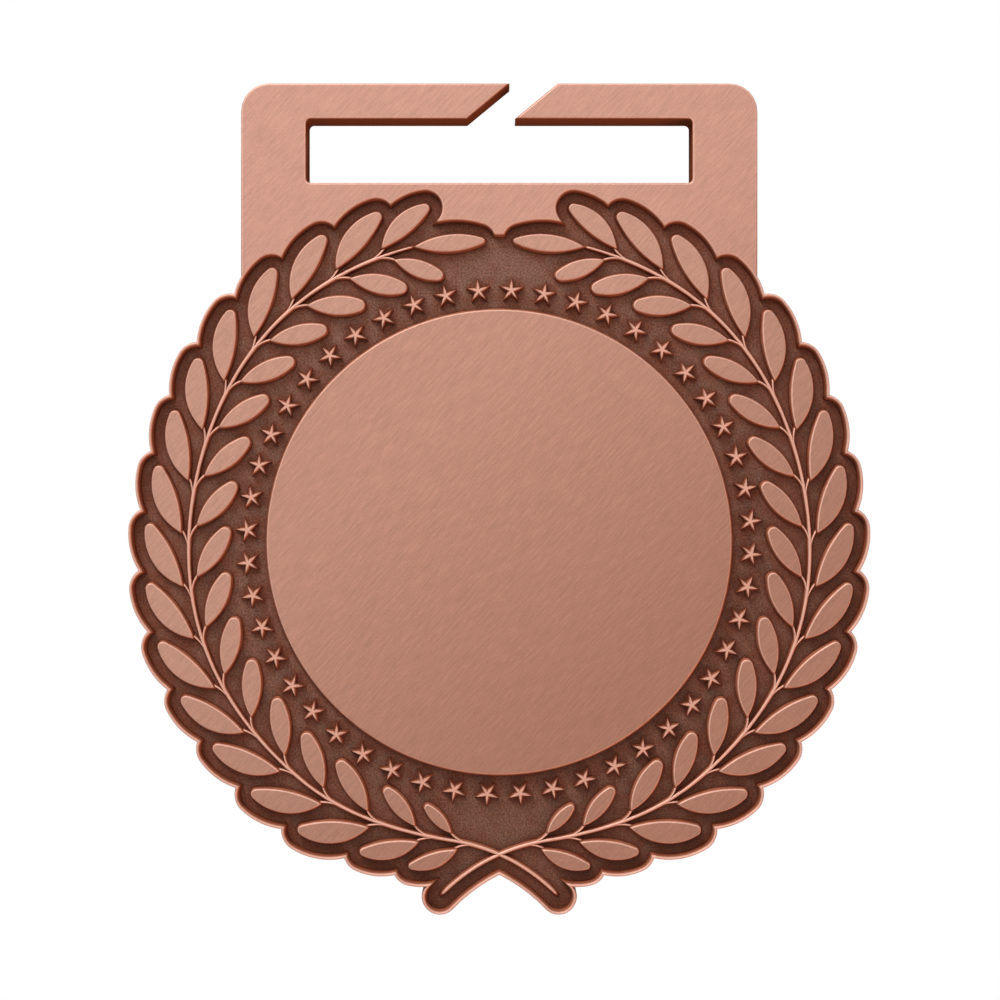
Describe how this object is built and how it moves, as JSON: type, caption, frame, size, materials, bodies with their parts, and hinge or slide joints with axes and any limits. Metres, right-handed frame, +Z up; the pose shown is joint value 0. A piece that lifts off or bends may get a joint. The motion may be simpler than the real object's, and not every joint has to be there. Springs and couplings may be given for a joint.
{
  "type": "sports finisher medal",
  "caption": "Die-cast medal with a bare centre disc, a ring of stars and a laurel wreath in relief inside a scalloped rim, hung from a slotted ribbon bar with a threading slit.",
  "frame": {"origin": "middle of the 50 mm centre disc, on the medal's flat back", "axes": "+Z up as the medal hangs, towards the ribbon bar; -Y the way the relief looks; +X to the viewer's right"},
  "size_m": [0.0802, 0.004, 0.0896],
  "materials": {
    "antiqued_ground": "dark antique patina on plated zinc, matte and finely grained",
    "brushed_disc": "brushed copper-bronze plating, fine diagonal grain",
    "brushed_bar": "brushed copper-bronze plating, fine diagonal grain",
    "polished_rim": "satin copper-bronze plating, rubbed bright on the edges",
    "polished_relief": "satin copper-bronze plating, rubbed bright on the tops"
  },
  "bodies": {
    "root": {"back_plate": "antiqued_ground", "ribbon_bar_face": "brushed_bar", "scalloped_rim": "polished_rim", "centre_disc": "brushed_disc", "star_ring": "polished_relief", "right_stem": "polished_relief", "right_outer_leaves": "polished_relief", "right_inner_leaves": "polished_relief", "right_tip_leaf": "polished_relief", "left_stem": "polished_relief", "left_outer_leaves": "polished_relief", "left_inner_leaves": "polished_relief", "left_tip_leaf": "polished_relief"}
  },
  "joints": []
}
